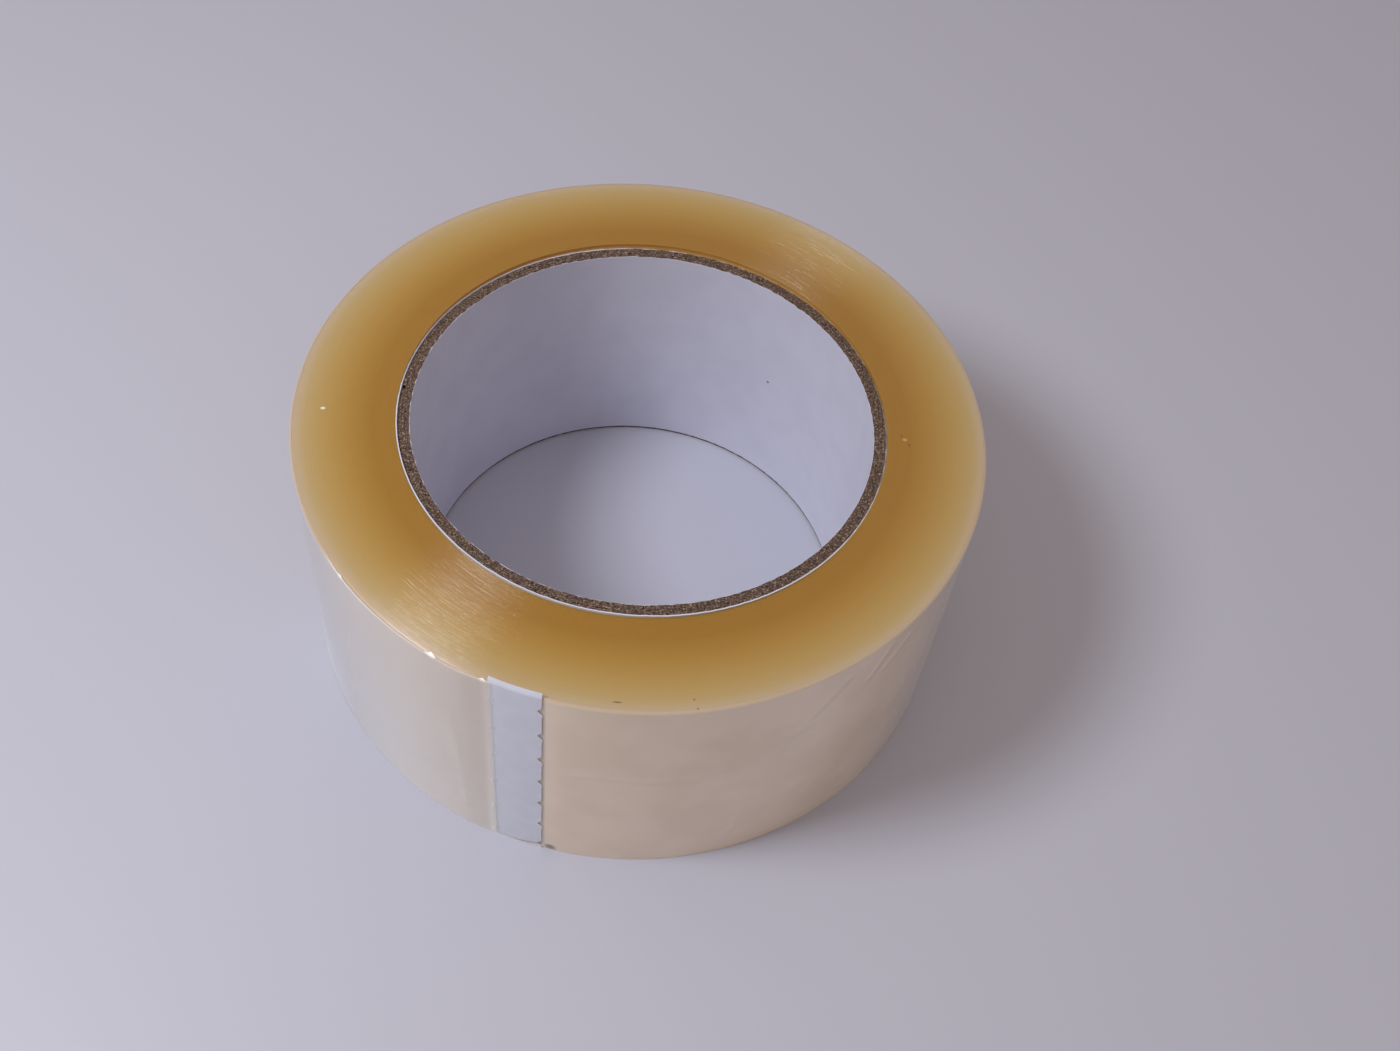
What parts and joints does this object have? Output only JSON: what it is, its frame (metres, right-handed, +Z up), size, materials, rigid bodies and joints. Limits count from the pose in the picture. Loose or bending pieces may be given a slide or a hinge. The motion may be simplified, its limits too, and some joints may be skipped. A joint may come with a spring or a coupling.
{
  "type": "roll of clear tape",
  "caption": "Roll of clear adhesive tape wound on a paper core, with a white starter tab at the free end of its last turn, which lifts and peels away.",
  "frame": {"origin": "centre of the roll's lower side face, on the roll's axis, where the roll rests on a table", "axes": "+Z up along the roll's axis; -Y towards the side with the starter tab, which lies a little towards -X"},
  "size_m": [0.114, 0.1138, 0.0492],
  "materials": {
    "liner_paper": "white uncoated paper, matte",
    "chipboard": "grey-brown recycled chipboard, rough cut edge",
    "wound_tape": "clear film and adhesive in many turns, amber on the side faces, satin",
    "clear_film": "clear polypropylene film, glossy",
    "tab_paper": "white paper, smooth"
  },
  "bodies": {
    "roll": {"core_inner_liner": "liner_paper", "core_ply_inner": "chipboard", "core_ply_middle": "chipboard", "core_ply_outer": "chipboard", "core_outer_liner": "liner_paper", "wound_tape": "wound_tape", "outer_wrap": "clear_film"},
    "peel_1": {"film_leaf_1": "clear_film"},
    "peel_2": {"film_leaf_2": "clear_film"},
    "peel_3": {"film_leaf_3": "clear_film"},
    "peel_4": {"film_leaf_4": "clear_film"},
    "peel_5": {"film_leaf_5": "clear_film"},
    "tab": {"tab_film": "clear_film", "starter_tab": "tab_paper"}
  },
  "joints": [
    {"name": "film_peel", "type": "hinge", "parent": "roll", "child": "peel_1", "pos_m": [-0.05524, -0.0144, 0], "axis": [0, 0, -1], "range_deg": [0, 22]},
    {"name": "film_peel_2", "type": "hinge", "parent": "peel_1", "child": "peel_2", "pos_m": [-0.05146, -0.02474, 0], "axis": [0, 0, -1], "range_deg": [0, 22]},
    {"name": "film_peel_3", "type": "hinge", "parent": "peel_2", "child": "peel_3", "pos_m": [-0.04576, -0.03417, 0], "axis": [0, 0, -1], "range_deg": [0, 22]},
    {"name": "film_peel_4", "type": "hinge", "parent": "peel_3", "child": "peel_4", "pos_m": [-0.03836, -0.04232, 0], "axis": [0, 0, -1], "range_deg": [0, 22]},
    {"name": "film_peel_5", "type": "hinge", "parent": "peel_4", "child": "peel_5", "pos_m": [-0.02953, -0.04891, 0], "axis": [0, 0, -1], "range_deg": [0, 22]},
    {"name": "tab_lift", "type": "hinge", "parent": "peel_5", "child": "tab", "pos_m": [-0.01959, -0.05368, 0], "axis": [0, 0, -1], "range_deg": [0, 110]}
  ],
  "couplings": [
    {"joint": "film_peel_2", "follows": "film_peel", "ratio": 1},
    {"joint": "film_peel_3", "follows": "film_peel", "ratio": 1},
    {"joint": "film_peel_4", "follows": "film_peel", "ratio": 1},
    {"joint": "film_peel_5", "follows": "film_peel", "ratio": 1}
  ]
}
